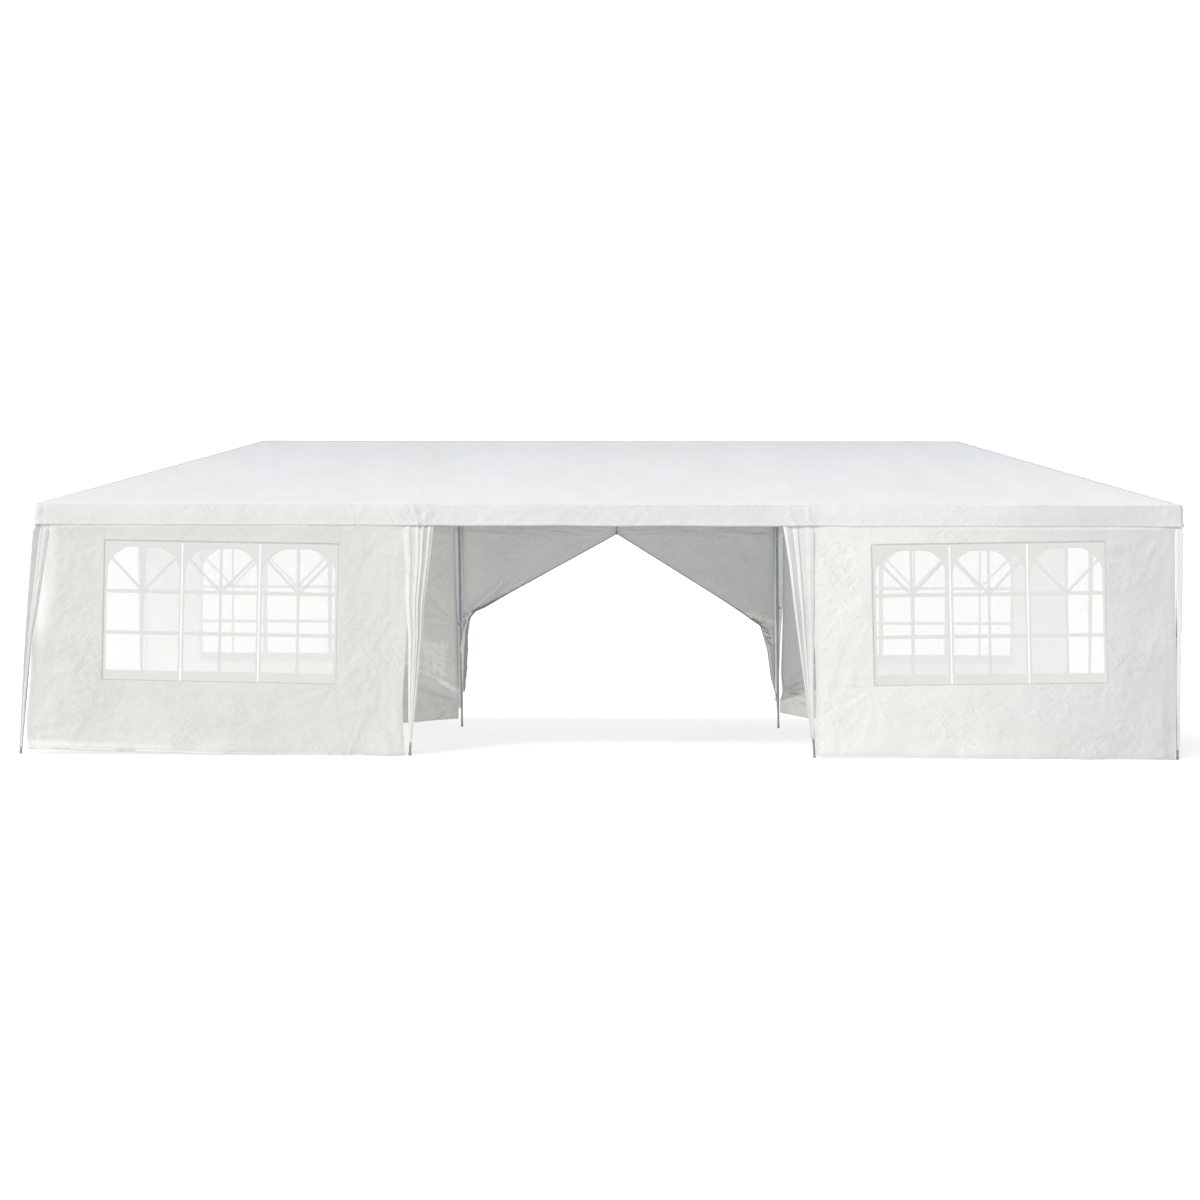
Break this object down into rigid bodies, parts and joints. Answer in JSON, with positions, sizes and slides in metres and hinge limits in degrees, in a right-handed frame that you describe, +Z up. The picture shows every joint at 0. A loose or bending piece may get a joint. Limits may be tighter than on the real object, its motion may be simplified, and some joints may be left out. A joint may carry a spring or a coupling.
{
  "type": "party marquee tent",
  "caption": "Long hip-roofed party marquee on a steel tube frame, with arched-window sidewalls, open ends and a tied-back rear door.",
  "frame": {"origin": "on the ground, at the bottom centre of the marquee's box", "axes": "+X along the marquee to the right seen from the front, +Y from the front to the rear, +Z up"},
  "size_m": [9.1728, 3, 2.5879],
  "materials": {
    "cover_cloth": "white coated woven polyethylene sheeting, slightly glossy, crossed tape weave",
    "wall_cloth": "off-white coated woven polyethylene sheeting, fold creases",
    "window_film": "clear flexible film with white printed glazing bars",
    "steel_tube": "grey powder-coated round steel tube",
    "steel_connector": "light grey powder-coated welded steel fittings"
  },
  "bodies": {
    "root": {"corner_connector_front_left": "steel_connector", "corner_connector_front_right": "steel_connector", "corner_connector_rear_left": "steel_connector", "corner_connector_rear_right": "steel_connector", "door_left": "wall_cloth", "door_right": "wall_cloth", "eave_connector_front_mid_left": "steel_connector", "eave_connector_front_mid_right": "steel_connector", "eave_connector_rear_mid_left": "steel_connector", "eave_connector_rear_mid_right": "steel_connector", "eave_rail_front_left": "steel_tube", "eave_rail_front_middle": "steel_tube", "eave_rail_front_right": "steel_tube", "eave_rail_left_end": "steel_tube", "eave_rail_rear_left": "steel_tube", "eave_rail_rear_middle": "steel_tube", "eave_rail_rear_right": "steel_tube", "eave_rail_right_end": "steel_tube", "hip_rafter_front_left": "steel_tube", "hip_rafter_front_right": "steel_tube", "hip_rafter_rear_left": "steel_tube", "hip_rafter_rear_right": "steel_tube", "leg_front_left": "steel_tube", "leg_front_mid_left": "steel_tube", "leg_front_mid_right": "steel_tube", "leg_front_right": "steel_tube", "leg_rear_left": "steel_tube", "leg_rear_mid_left": "steel_tube", "leg_rear_mid_right": "steel_tube", "leg_rear_right": "steel_tube", "rafter_front_mid_left": "steel_tube", "rafter_front_mid_right": "steel_tube", "rafter_rear_mid_left": "steel_tube", "rafter_rear_mid_right": "steel_tube", "ridge_end_connector_left": "steel_connector", "ridge_end_connector_right": "steel_connector", "ridge_pole": "steel_tube", "roof_front": "cover_cloth", "roof_left": "cover_cloth", "roof_rear": "cover_cloth", "roof_right": "cover_cloth", "valance_front": "cover_cloth", "valance_left": "cover_cloth", "valance_rear": "cover_cloth", "valance_right": "cover_cloth", "wall_front_left": "wall_cloth", "wall_front_right": "wall_cloth", "wall_rear_left": "wall_cloth", "wall_rear_right": "wall_cloth", "window_film_front_left": "window_film", "window_film_front_right": "window_film", "window_film_rear_left": "window_film", "window_film_rear_right": "window_film"}
  },
  "joints": []
}
